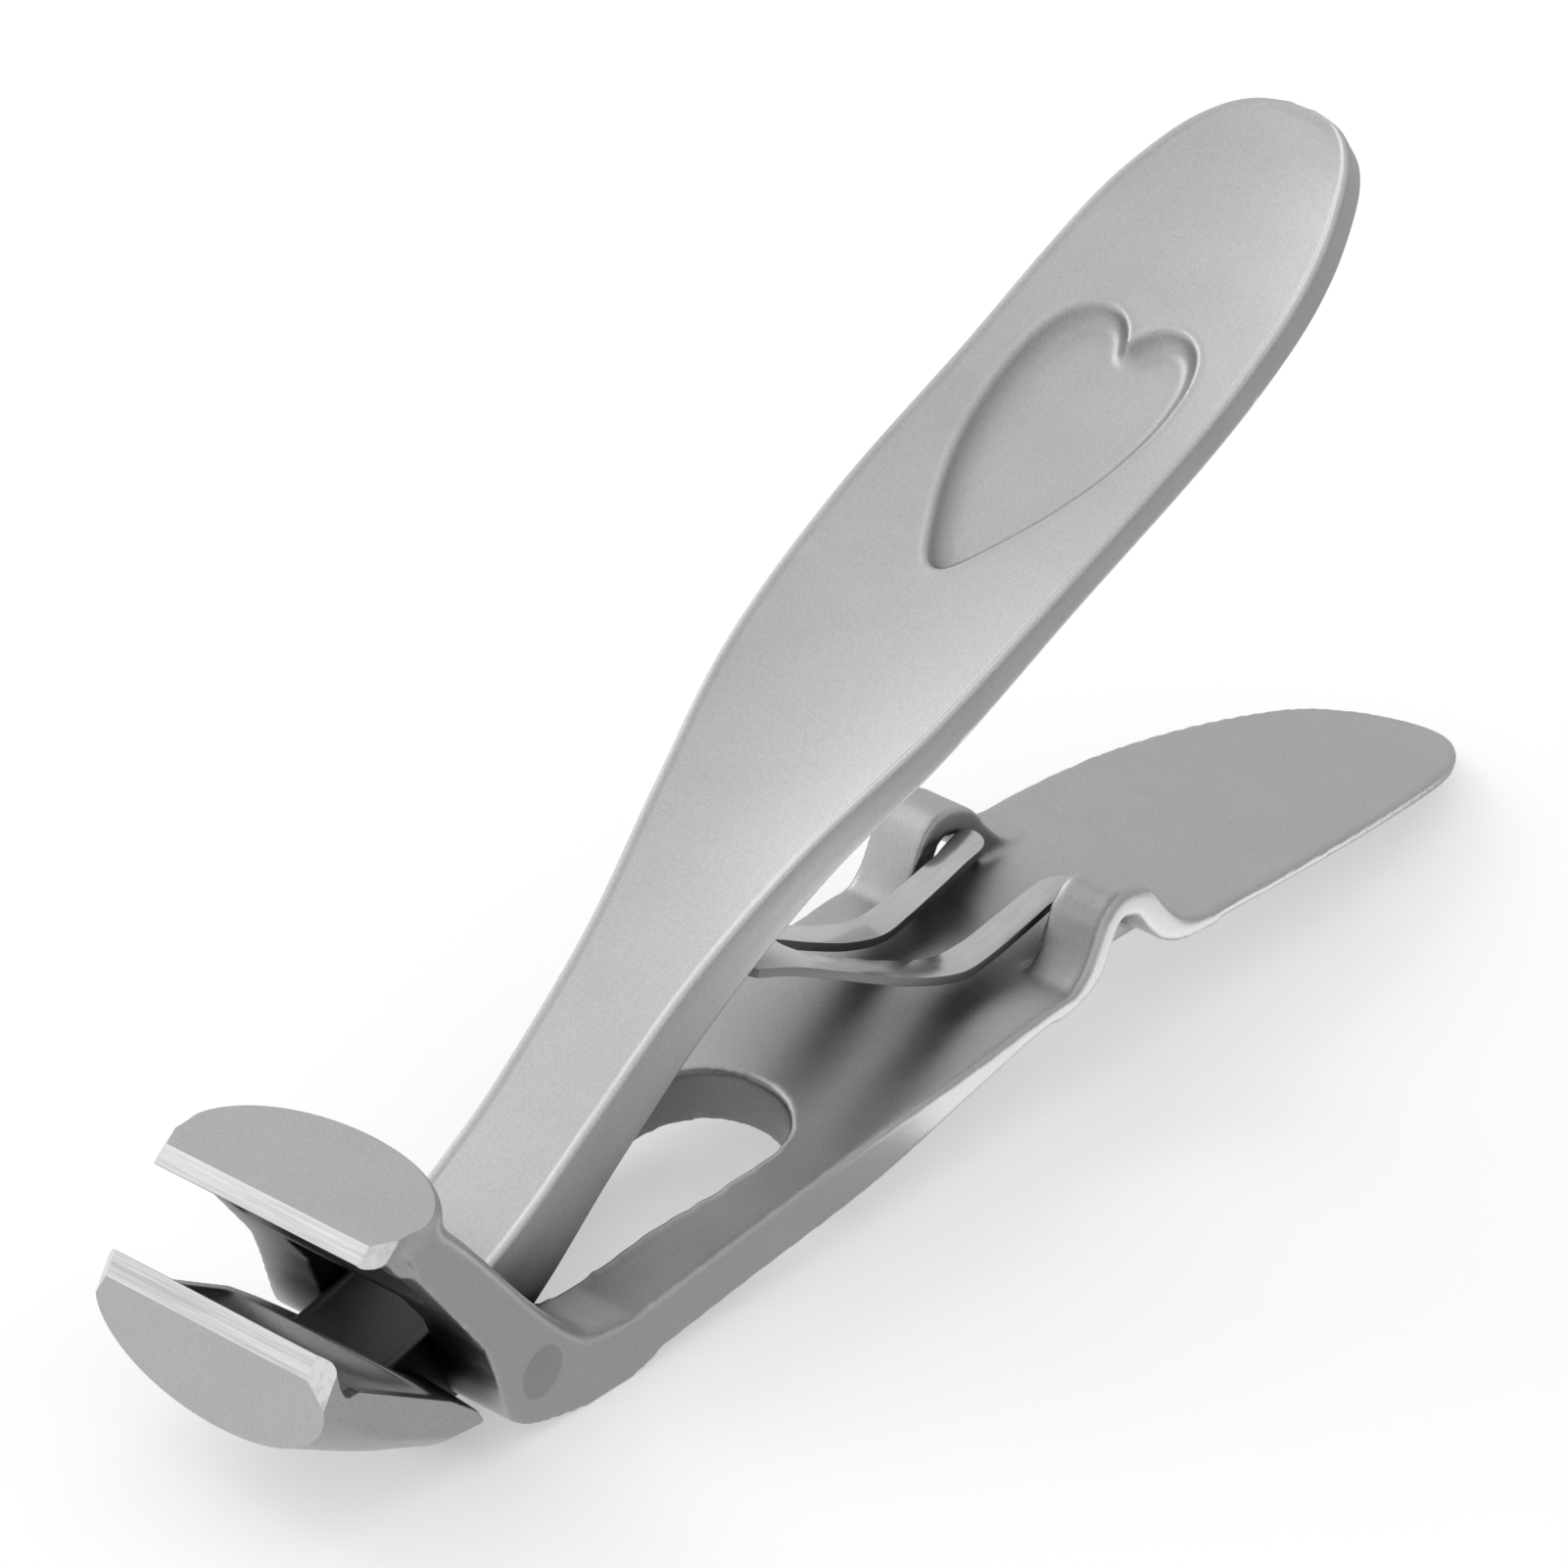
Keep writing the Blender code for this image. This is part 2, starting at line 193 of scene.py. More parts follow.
# ---------------------------------------------------------------- geometry helpers
def catmull(values, t):
    a, b, c, d = values
    slope_b = (c - a) / 2.0
    slope_c = (d - b) / 2.0
    h1 = 2 * t**3 - 3 * t**2 + 1
    h2 = t**3 - 2 * t**2 + t
    h3 = t**3 - t**2
    return h1 * b + h2 * slope_b + (1 - h1) * c + h3 * slope_c


def spline(points, steps):
    """A Catmull-Rom curve through points of any dimension, steps per span."""
    out = []
    last = len(points) - 1
    for i in range(last):
        near = (points[max(i - 1, 0)], points[i], points[i + 1], points[min(i + 2, last)])
        for k in range(steps):
            out.append(tuple(catmull(p, k / steps) for p in zip(*near)))
    out.append(tuple(points[-1]))
    return out


def resample(points, spacing):
    """The same polyline with points about spacing apart, by its first two values."""
    pts = np.array(points, float)
    run = np.concatenate([[0.0], np.cumsum(np.hypot(*np.diff(pts[:, :2], axis=0).T))])
    count = max(int(run[-1] / spacing), 2)
    at = np.linspace(0.0, run[-1], count + 1)
    return np.stack([np.interp(at, run, pts[:, k]) for k in range(pts.shape[1])], axis=1)


def smoothstep(low, high, x):
    t = np.clip((x - low) / (high - low), 0.0, 1.0)
    return t * t * (3.0 - 2.0 * t)


def to_world(points):
    return [tuple(PIVOT + Vector(p) * MM) for p in points]


def link(name, mesh):
    obj = bpy.data.objects.new(name, mesh)
    bpy.context.scene.collection.objects.link(obj)
    return obj


def loft(name, rings):
    """A closed solid through rings of equal length, with flat end caps."""
    bm = bmesh.new()
    loops = [[bm.verts.new(p) for p in to_world(ring)] for ring in rings]
    count = len(loops[0])
    for low, high in zip(loops, loops[1:]):
        for i in range(count):
            j = (i + 1) % count
            bm.faces.new((low[i], low[j], high[j], high[i]))
    bm.faces.new(loops[0])
    bm.faces.new(loops[-1])
    bmesh.ops.recalc_face_normals(bm, faces=bm.faces)
    mesh = bpy.data.meshes.new(name)
    bm.to_mesh(mesh)
    bm.free()
    return link(name, mesh)


def prism_y(name, outline, y_low, y_high):
    return loft(name, [[(x, y, z) for x, z in outline] for y in (y_low, y_high)])


def prism_z(name, outline, z_low, z_high):
    return loft(name, [[(x, y, z) for x, y in outline] for z in (z_low, z_high)])


def ribbon(path):
    """The outline of a bent sheet: its top line, and back along its underside."""
    under = []
    for i, (x, z, thickness) in enumerate(path):
        x0, z0 = path[max(i - 1, 0)][:2]
        x1, z1 = path[min(i + 1, len(path) - 1)][:2]
        length = math.hypot(x1 - x0, z1 - z0)
        under.append((x + (z1 - z0) / length * thickness, z - (x1 - x0) / length * thickness))
    return [(x, z) for x, z, _ in path] + under[::-1]


def combine(target, tool, operation):
    """Adds a Boolean to target and hands the tool back."""
    modifier = target.modifiers.new(tool.name, "BOOLEAN")
    modifier.operation = operation
    modifier.solver = "EXACT"
    modifier.object = tool
    tool.hide_render = True
    return tool


def bake_modifiers(obj, tools):
    """Replaces obj's mesh by its evaluated one and removes the tools it used."""
    graph = bpy.context.evaluated_depsgraph_get()
    mesh = bpy.data.meshes.new_from_object(obj.evaluated_get(graph))
    obj.modifiers.clear()
    obj.data = mesh
    for tool in tools:
        bpy.data.objects.remove(tool, do_unlink=True)


def recast(obj, voxel):
    """Turns joined solids into one soft-edged skin, like a blasted casting."""
    remesh = obj.modifiers.new("cast", "REMESH")
    remesh.mode = "VOXEL"
    remesh.voxel_size = voxel
    bake_modifiers(obj, [])
    mesh = obj.data
    where = np.empty(len(mesh.vertices) * 3)
    mesh.vertices.foreach_get("co", where)
    where = where.reshape(-1, 3)
    pairs = np.empty(len(mesh.edges) * 2, dtype=np.int64)
    mesh.edges.foreach_get("vertices", pairs)
    near, far = pairs.reshape(-1, 2).T
    count = len(where)
    links = np.bincount(near, minlength=count) + np.bincount(far, minlength=count)
    for step in [SMOOTH_IN, SMOOTH_OUT] * SMOOTHING_ROUNDS + [SMOOTH_IN, SMOOTH_IN]:
        total = np.empty_like(where)
        for axis in range(3):
            total[:, axis] = (np.bincount(near, where[far, axis], count)
                              + np.bincount(far, where[near, axis], count))
        where += step * (total / links[:, None] - where)
    mesh.vertices.foreach_set("co", where.ravel())
    mesh.polygons.foreach_set("use_smooth", [True] * len(mesh.polygons))
    mesh.update()


def grind(obj, cuts):
    """Cuts flats with crisp borders: each cut is a point, an outward normal and a slot."""
    bm = bmesh.new()
    bm.from_mesh(obj.data)
    for point, normal, index in cuts:
        geometry = bm.verts[:] + bm.edges[:] + bm.faces[:]
        cut = bmesh.ops.bisect_plane(bm, geom=geometry, dist=1e-8, plane_co=PIVOT + Vector(point) * MM,
                                     plane_no=Vector(normal), clear_outer=True)
        rim = [e for e in cut["geom_cut"] if isinstance(e, bmesh.types.BMEdge)]
        for edge in rim:
            edge.smooth = False
        flat = bmesh.ops.edgeloop_fill(bm, edges=rim, mat_nr=index, use_smooth=False)
        bmesh.ops.triangulate(bm, faces=flat["faces"])
    bmesh.ops.recalc_face_normals(bm, faces=bm.faces)
    bm.to_mesh(obj.data)
    bm.free()


# ---------------------------------------------------------------- lower handle and upper jaw
def handle_ring(station):
    """A section across the lower handle; its lower corners are cut back further to the rear."""
    x, top, bottom, half = station
    corner = min(0.9, half / 2)
    edge = 0.12
    feather = float(smoothstep(30.0, 56.0, x))
    foot = bottom + 0.35 + (top - bottom - 0.95) * feather
    side = [(half - edge, top), (half, top - edge), (half, foot),
            (half - corner * 0.45, bottom + (foot - bottom) * 0.4), (half - corner, bottom)]
    left = [(-y, z) for y, z in side]
    return [(x, y, z) for y, z in side + left[::-1]]


def head_outline(inset):
    """Side view of the head walls; inset pulls the free edges in to round them."""
    back = [(-7.5, 12.15), (-4.94, 9.57), (0.0, 3.82), (2.83, 0.95), (4.6, -0.1),
            (7.5, -0.45), (9.0, -0.6)]
    fade = [1.0, 1.0, 1.0, 0.9, 0.4, 0.0, 0.0]
    rear = spline([(x - 0.77 * inset * f, z - 0.64 * inset * f) for (x, z), f in zip(back, fade)], 8)
    under = [(9.0, -3.45), (7.2, REST_Z), (3.4, REST_Z)]
    nose = spline([(1.8, -3.55), (-0.6, -2.9), (-2.2, -1.9), (-2.8, -0.6), (-3.46, 1.4)], 8)
    front = [(-4.26, 3.31), (-9.4 + 0.3 * inset, 9.7), (-9.5, 10.6), (-9.9, 11.3),
             (-10.2, 12.15 - inset)]
    return rear + under + nose + front


def jaw_plan(front, swell):
    """The upper jaw from above: a straight front, and a bulging rear that swells below its rim."""
    half = UPPER_FACET_END[1]
    arc = []
    for a in np.linspace(-math.pi / 2, math.pi / 2, 61):
        x = -4.45 - 5.0 * (1.0 - max(math.cos(a), 0.0) ** 0.91)
        grow = swell * float(smoothstep(-9.9, -8.3, x))
        arc.append((x + grow * math.cos(a), half * math.sin(a) + grow * math.sin(a)))
    ends = [(front, half + 0.15), (max(-10.3, front + 0.2), half + 0.05)]
    return [(x, -y) for x, y in ends] + arc + ends[::-1]


def window_outline():
    """Plan of the opening that the lever's neck passes through."""
    centre = WINDOW_END_X - WINDOW_RADIUS
    bend = [(centre + WINDOW_RADIUS * math.sin(a), -WINDOW_RADIUS * math.cos(a))
            for a in [math.pi * i / 32 for i in range(33)]]
    near = spline([(-6.0, -SLOT_HALF_WIDTH), (WINDOW_FLARE_X, -SLOT_HALF_WIDTH), WINDOW_FLARE_POINT,
                   bend[0]], 10)
    far = [(x, -y) for x, y in near[:-1]]
    return near[:-1] + bend + far[::-1]


def loop_path():
    """Side view of the raised strip beside a leg of the spring: x, top z and thickness."""
    return spline([(41.0, 2.4, 0.9), (42.7, 2.87, 1.2), (43.7, 3.75, 1.6), (44.35, 5.0, 1.6),
                   (44.85, 6.15, 1.6), (45.7, 6.95, 1.6), (46.8, 7.25, 1.6), (48.9, 6.55, 1.6),
                   (50.75, 4.5, 1.6), (51.6, 3.7, 1.5), (52.6, 3.1, 1.3), (53.9, 2.78, 1.1),
                   (55.5, 2.3, 0.8)], 5)


def face_levels():
    """Heights of the upper jaw's rim, its forward reach and how far it has swelled."""
    return [(JAW_UNDER_Z, -9.9, 0.6),
            (11.3, -11.0, 0.62),
            (UPPER_EDGE[1] - 0.02, UPPER_EDGE[0] - 0.1, 0.64),
            (11.95, -12.3, 0.62),
            (12.2, -12.1, 0.55),
            (JAW_TOP_Z, -11.85, 0.3),
            (JAW_TOP_Z + GRIND_ALLOWANCE, -11.6, -0.3)]


def facet_normal(side, edge, band, end):
    """A point on a corner facet and its outward normal."""
    start = Vector((band[0], side * EDGE_HALF_WIDTH, band[1]))
    across = Vector((end[0], side * end[1], end[2])) - start
    along = Vector((edge[0] - band[0], 0.0, edge[1] - band[1]))
    outward = along.cross(across).normalized()
    return start, outward if outward.y * side > 0 else -outward


def band_normal(edge, band):
    """The forward normal of the ground band along a cutting edge."""
    run = Vector((band[0] - edge[0], 0.0, band[1] - edge[1])).normalized()
    normal = Vector((-run.z, 0.0, run.x))
    return normal if normal.x < 0 else -normal


def shade_window(body):
    """Stores painted shade: how far each vertex lies on the walls inside the window and the head, which the
    steel then darkens.
    """
    shade = body.data.attributes.new("painted_shade_inner_wall", "FLOAT", "POINT")
    centre = WINDOW_END_X - WINDOW_RADIUS
    for vert in body.data.vertices:
        place = (vert.co - PIVOT) / MM
        if place.x < centre:
            half = float(np.interp(place.x, (WINDOW_FLARE_X, WINDOW_FLARE_POINT[0], centre),
                                   (SLOT_HALF_WIDTH, -WINDOW_FLARE_POINT[1], WINDOW_RADIUS)))
            beyond = abs(place.y) - half
            inward = -math.copysign(1.0, place.y) * vert.normal.y
        else:
            arm = Vector((place.x - centre, place.y, 0.0))
            beyond = arm.length - WINDOW_RADIUS
            inward = -arm.normalized().dot(vert.normal)
        wall = (1.0 - smoothstep(0.15, 0.55, beyond)) * smoothstep(0.35, 0.85, inward)
        under_jaw = 1.0 - smoothstep(JAW_UNDER_Z - 1.0, JAW_UNDER_Z, place.z)
        shade.data[vert.index].value = float(wall * under_jaw)


def make_body():
    """The lower handle with the head and the upper jaw, as one casting."""
    stations = spline(HANDLE_STATIONS, 6)
    body = loft("handle_casting", [handle_ring(s) for s in stations])
    across = ((-8.0, 0.75), (-7.75, 0.35), (-7.1, 0.0), (7.1, 0.0), (7.75, 0.35), (8.0, 0.75))
    walls = [[(x, y, z) for x, z in head_outline(inset)] for y, inset in across]
    tools = [combine(body, loft("walls", walls), "UNION")]
    cap = [[(x, y, z) for x, y in jaw_plan(front, swell)] for z, front, swell in face_levels()]
    tools.append(combine(body, loft("cap", cap), "UNION"))
    window = prism_z("window", window_outline(), -6.0, JAW_UNDER_Z + 0.7)
    tools.append(combine(body, window, "DIFFERENCE"))
    pocket = [(-10.4, 11.05), (-8.4, 11.0), (-6.6, 10.5), (-6.6, 5.0), (-12.0, 5.0)]
    tools.append(combine(body, prism_y("pocket", pocket, -6.2, 6.2), "DIFFERENCE"))
    for side in (-1, 1):
        lows = sorted((side * (LOOP_INNER_Y + LOOP_LEDGE), side * 9.0))
        gap = [(LOOP_FRONT_X, -2.0), (LOOP_REAR_X + 1.2, -2.0), (LOOP_REAR_X + 0.5, 1.6),
               (LOOP_REAR_X, 6.0), (LOOP_FRONT_X, 6.0)]
        tools.append(combine(body, prism_y("gap", gap, lows[0], lows[1]), "DIFFERENCE"))
        rim = sorted((side * LOOP_INNER_Y, side * LOOP_OUTER_Y))
        tools.append(combine(body, prism_y("loop", ribbon(loop_path()), rim[0], rim[1]), "UNION"))
    bake_modifiers(body, tools)
    recast(body, BODY_VOXEL)
    cuts = [((0.0, 0.0, JAW_TOP_Z), (0, 0, 1), FLAT_SLOT)]
    cuts.append(((UPPER_EDGE[0], 0.0, UPPER_EDGE[1]), band_normal(UPPER_EDGE, UPPER_BAND), BAND_SLOT))
    for side in (-1, 1):
        point, normal = facet_normal(side, UPPER_EDGE, UPPER_BAND, UPPER_FACET_END)
        cuts.append((point, normal, FACET_SLOT))
    grind(body, cuts)
    shade_window(body)
    return body


# ---------------------------------------------------------------- thumb lever and lower jaw
def heart_outline():
    """The heart's outline, as distances along its axis and across."""
    half = spline([(-0.05, 0.0), (0.25, 0.65), (1.5, 1.52), (4.3, 2.95), (6.5, 3.85), (9.0, 4.58),
                   (11.3, 4.98), (13.5, HEART_HALF_WIDTH), (15.8, 4.98), (17.5, 4.4), (18.5, 3.5),
                   (HEART_LENGTH, 2.45), (18.72, 1.4), (18.1, 0.6), (17.15, 0.0)], 8)
    mirrored = [(s, -y) for s, y in half[1:-1]]
    return np.array(half + mirrored[::-1])


def outline_distance(points, outline):
    """Distance to a closed outline, positive inside it."""
    start = outline
    end = np.roll(outline, -1, axis=0)
    best = np.full(len(points), 1e9)
    inside = np.zeros(len(points), bool)
    for (ax, ay), (bx, by) in zip(start, end):
        dx, dy = bx - ax, by - ay
        t = ((points[:, 0] - ax) * dx + (points[:, 1] - ay) * dy) / (dx * dx + dy * dy + 1e-12)
        t = np.clip(t, 0.0, 1.0)
        best = np.minimum(best, np.hypot(points[:, 0] - ax - t * dx, points[:, 1] - ay - t * dy))
        crosses = (ay > points[:, 1]) != (by > points[:, 1])
        with np.errstate(divide="ignore", invalid="ignore"):
            where = ax + (points[:, 1] - ay) * dx / dy
        inside ^= crosses & (points[:, 0] < where)
    return np.where(inside, best, -best)


def heart_depth(x, y, z):
    """How far the heart's floor lies under the lever's top at each point."""
    along = (x - HEART_TIP[0]) * math.cos(HEART_SLOPE) + (z - HEART_TIP[1]) * math.sin(HEART_SLOPE)
    distance = outline_distance(np.stack([along, y], axis=1), heart_outline())
    wall = 1.0 - (1.0 - np.clip(distance / HEART_COVE, 0.0, 1.0)) ** 2.4
    swell = 0.02 * np.exp(-((distance + 0.2) / 0.14) ** 2)
    return HEART_DEPTH * wall - swell


def rim_profile(half, y):
    """Depth of the top under the rim line: a fine raised rim, a step and a shallow dish."""
    edge = half - np.abs(y)
    corner = 0.16
    roll = np.where(edge < corner, corner - np.sqrt(np.maximum(corner**2 - (corner - edge) ** 2, 0.0)), 0.0)
    wide = np.clip((half - 3.3) / 3.5, 0.0, 1.0)
    step = (0.05 + 0.03 * wide) * smoothstep(0.34, 0.62, edge)
    bowl = 0.42 * wide * np.clip(1.0 - (y / max(half - 0.5, 0.5)) ** 2, 0.0, 1.0)
    return roll + step + bowl


def lever_section(station):
    """A section across the lever: rim, dish and heart on top, rounded corners below."""
    top_x, top_z, low_x, low_z, half = station
    thick = math.hypot(low_x - top_x, low_z - top_z)
    down = np.array([(low_x - top_x) / thick, (low_z - top_z) / thick])
    inner = np.linspace(-1.0, 1.0, 109) * (half - min(0.62, half * 0.4))
    rim = np.array([0.0, 0.01, 0.03, 0.06, 0.1, 0.16, 0.25, 0.34, 0.41, 0.48, 0.55])
    edge = half - rim * min(1.0, half / 1.6)
    y = np.concatenate([-edge, inner, edge[::-1]])
    n = rim_profile(half, y)
    x = top_x + down[0] * n
    z = top_z + down[1] * n
    dent = heart_depth(x, y, z)
    x = x + down[0] * dent
    z = z + down[1] * dent
    top = list(zip(x, y, z))
    low = []
    corner = min(0.5, half * 0.4)
    for k in range(7):
        a = math.pi / 2 * k / 6
        low.append((half - corner + corner * math.cos(a), thick - corner + corner * math.sin(a)))
    side = [(half, 0.35 * thick), (half, 0.6 * thick)] + low
    belly = side + [(-y_, n_) for y_, n_ in side[::-1]]
    under = [(top_x + down[0] * n_, y_, top_z + down[1] * n_) for y_, n_ in belly]
    return top + under


def lever_stations():
    """Stations along the lever, closest together at the heart and the tip."""
    coarse = spline(LEVER_STATIONS, 24)
    pts = resample(coarse, 0.05)
    keep = []
    last = -9.0
    for p in pts:
        fine = 37.5 < p[0] < 56.5
        tip = p[0] > 66.0
        gap = 0.13 if fine or tip else 0.4
        if p[0] - last >= gap * 0.9:
            keep.append(p)
            last = p[0]
    keep.append(pts[-1])
    return keep


def make_lever():
    lever = loft("thumb_lever_blade", [lever_section(tuple(s)) for s in lever_stations()])
    for polygon in lever.data.polygons:
        polygon.use_smooth = True
    lever.data.set_sharp_from_angle(angle=math.radians(60.0))
    joint_end = PIVOT.x + JOINT_END_X * MM
    # Faces in front of the joint end lie deep in the head and get the dark material as painted shade.
    for polygon in lever.data.polygons:
        if polygon.center.x < joint_end:
            polygon.material_index = JOINT_SHADE_SLOT
    return lever


def rim_z(x):
    """Height of the lower jaw's straight side rim."""
    return 5.1 - 0.585 * (x + 13.0)


def lower_jaw_ring(y):
    """A side-view section of the lower jaw at one distance from the middle."""
    fullness = math.sqrt(1.0 - (abs(y) / 8.4) ** 3)
    face_end = 5.4 - 4.75 * math.sqrt(1.0 - (abs(y) / LOWER_JAW_HALF_WIDTH) ** 2)
    blank_x = LOWER_BAND[0] - GRIND_ALLOWANCE
    face_x = blank_x + LOWER_FACE_LEAN * (LOWER_BAND[1] - face_end)
    taper = 1.0 * (abs(y) / LOWER_JAW_HALF_WIDTH) ** 2
    belly = [(face_x + 0.02, face_end), (-11.4, rim_z(-11.4) - 5.1 * fullness),
             (-7.8, rim_z(-7.8) - 4.5 * fullness),
             (-5.2 - taper, rim_z(-5.2 - taper) - 4.0 * fullness),
             (-3.2 - taper, rim_z(-3.2 - taper) - 2.3 * fullness)]
    under = [(x, max(z, -3.6)) for x, z in spline(belly, 5)]
    tail = [(-2.8 - taper, -1.6 + 0.3 * taper), (-3.3 - taper, -0.9 + 0.5 * taper)]
    rim = [(-6.2, rim_z(-6.2)), (-13.0, rim_z(-13.0)), (-13.6, 5.05), (-14.05, 5.3), (-14.4, 6.0),
           (-14.6, 6.8), (-14.75, 7.6)]
    outline = [(LOWER_EDGE[0] - 0.12, LOWER_EDGE[1] + 0.12), (blank_x, LOWER_BAND[1] + 0.35)]
    return [(x, y, z) for x, z in outline + under + tail + rim]


def dish_rings():
    """The hollow behind the lower cutting edge, shallower towards its two sides."""
    rings = []
    for y in np.linspace(-6.75, 6.75, 41):
        depth = 2.4 * math.sqrt(1.0 - (abs(y) / 7.0) ** 2)
        steps = ((-7.6, 0.55), (-9.6, 0.95), (-12.2, 1.0))
        floor = [(x, rim_z(x) - depth * d + 0.1) for x, d in steps]
        low = spline([(-6.5, rim_z(-6.5) + 0.1)] + floor + [(-14.0, 5.2), (-14.45, 7.3)], 5)
        rings.append([(x, y, z) for x, z in low + [(-13.0, 9.0), (-5.0, 4.5)]])
    return rings


def make_lower_jaw():
    half = LOWER_JAW_HALF_WIDTH
    ys = [half * math.sin(a) for a in np.linspace(-math.pi / 2, math.pi / 2, 61)]
    jaw = loft("lower_jaw", [lower_jaw_ring(y) for y in ys])
    tools = [combine(jaw, loft("dish", dish_rings()), "DIFFERENCE")]
    bake_modifiers(jaw, tools)
    recast(jaw, JAW_VOXEL)
    face = Vector((-1.0, 0.0, -LOWER_FACE_LEAN))
    cuts = [((LOWER_BAND[0], 0.0, LOWER_BAND[1]), face, FLAT_SLOT)]
    cuts.append(((LOWER_EDGE[0], 0.0, LOWER_EDGE[1]), band_normal(LOWER_EDGE, LOWER_BAND), BAND_SLOT))
    for side in (-1, 1):
        point, normal = facet_normal(side, LOWER_EDGE, LOWER_BAND, LOWER_FACET_END)
        cuts.append((point, normal, FACET_SLOT))
    grind(jaw, cuts)
    return jaw


# ---------------------------------------------------------------- pin and spring
def make_pin():
    """A turned pin whose two ends are ground flush, with a fine broken edge."""
    profile = [(0.0, HALF_WIDTH + 0.025), (PIN_RADIUS - 0.1, HALF_WIDTH + 0.022),
               (PIN_RADIUS - 0.03, HALF_WIDTH + 0.012), (PIN_RADIUS, HALF_WIDTH - 0.02)]
    profile += [(r, -y) for r, y in profile[::-1]]
    bm = bmesh.new()
    verts = [bm.verts.new((r * MM, y * MM, 0.0)) for r, y in profile]
    edges = [bm.edges.new(pair) for pair in zip(verts, verts[1:])]
    bmesh.ops.spin(bm, geom=verts + edges, cent=(0, 0, 0), axis=(0, 1, 0), angle=2 * math.pi, steps=96,
                   use_duplicate=False)
    bmesh.ops.remove_doubles(bm, verts=bm.verts, dist=1e-7)
    bmesh.ops.recalc_face_normals(bm, faces=bm.faces)
    for face in bm.faces:
        face.smooth = True
    bmesh.ops.translate(bm, verts=bm.verts, vec=PIVOT)
    mesh = bpy.data.meshes.new("pin_turned")
    bm.to_mesh(mesh)
    bm.free()
    pin = link("pin_turned", mesh)
    pin.data.set_sharp_from_angle(angle=math.radians(35.0))
    return pin


def spring_path():
    """Side view of the spring, from the leg tips to the lever."""
    return spline([(48.35, 5.72), (46.1, 5.6), (43.4, 5.05), (40.4, 4.5), (38.1, 4.5), (35.0, 5.55),
                   (31.7, 7.1), (28.0, 9.05), (24.0, 11.1), (20.5, 12.5)], 10)


def spring_blank(total):
    """The flat pattern: distance from the leg tips, and across."""
    half = SPRING_HALF_WIDTH
    tip = spline([(3.0, 3.85), (1.2, 4.2), (0.35, 4.28), (0.0, 3.6), (0.35, 2.75), (1.1, 2.25),
                  (2.2, 2.1)], 6)
    outer = [(total, half - 0.6), (total - 0.6, half), (6.0, half)]
    right = outer + tip
    inner = [(4.2, 2.0), (8.0, 1.85), (14.0, 1.3), (20.6, 0.95)]
    nose = [(21.0 + 0.9 * math.sin(a), 0.9 * math.cos(a)) for a in np.linspace(0.0, math.pi, 15)]
    slot = inner + nose + [(s, -v) for s, v in inner[::-1]]
    left = [(s, -v) for s, v in right[::-1]]
    return right + slot + left


def make_spring():
    """The slotted sheet, bent along its side view and then thickened."""
    path = np.array(spring_path())
    run = np.concatenate([[0.0], np.cumsum(np.hypot(*np.diff(path, axis=0).T))])
    total = float(run[-1])
    bm = bmesh.new()
    bm.faces.new([bm.verts.new((s, v, 0.0)) for s, v in spring_blank(total)])
    for s in np.arange(SPRING_BEND_STEP, total, SPRING_BEND_STEP):
        bmesh.ops.bisect_plane(bm, geom=bm.verts[:] + bm.edges[:] + bm.faces[:], dist=1e-5,
                               plane_co=(s, 0, 0), plane_no=(1, 0, 0))
    for vert in bm.verts:
        s, v = vert.co.x, vert.co.y
        x = float(np.interp(s, run, path[:, 0]))
        z = float(np.interp(s, run, path[:, 1]))
        vert.co = PIVOT + Vector((x, v, z)) * MM
    bmesh.ops.recalc_face_normals(bm, faces=bm.faces)
    if sum(f.normal.z for f in bm.faces) < 0:
        bmesh.ops.reverse_faces(bm, faces=bm.faces)
    mesh = bpy.data.meshes.new("spring_strip")
    bm.to_mesh(mesh)
    bm.free()
    spring = link("spring_strip", mesh)
    solid = spring.modifiers.new("sheet", "SOLIDIFY")
    solid.thickness = SPRING_THICKNESS * MM
    solid.offset = -1.0
    edge = spring.modifiers.new("broken_edge", "BEVEL")
    edge.width = SPRING_EDGE_RADIUS * MM
    edge.segments = 3
    edge.limit_method = "ANGLE"
    edge.angle_limit = math.radians(50.0)
    bake_modifiers(spring, [])
    for polygon in spring.data.polygons:
        polygon.use_smooth = True
        # Side faces get the darker edge material: a shear-cut finish with painted shade.
        if abs(polygon.normal.y) > 0.6:
            polygon.material_index = SHEARED_SHADE_SLOT
    spring.data.set_sharp_from_angle(angle=math.radians(40.0))
    return spring


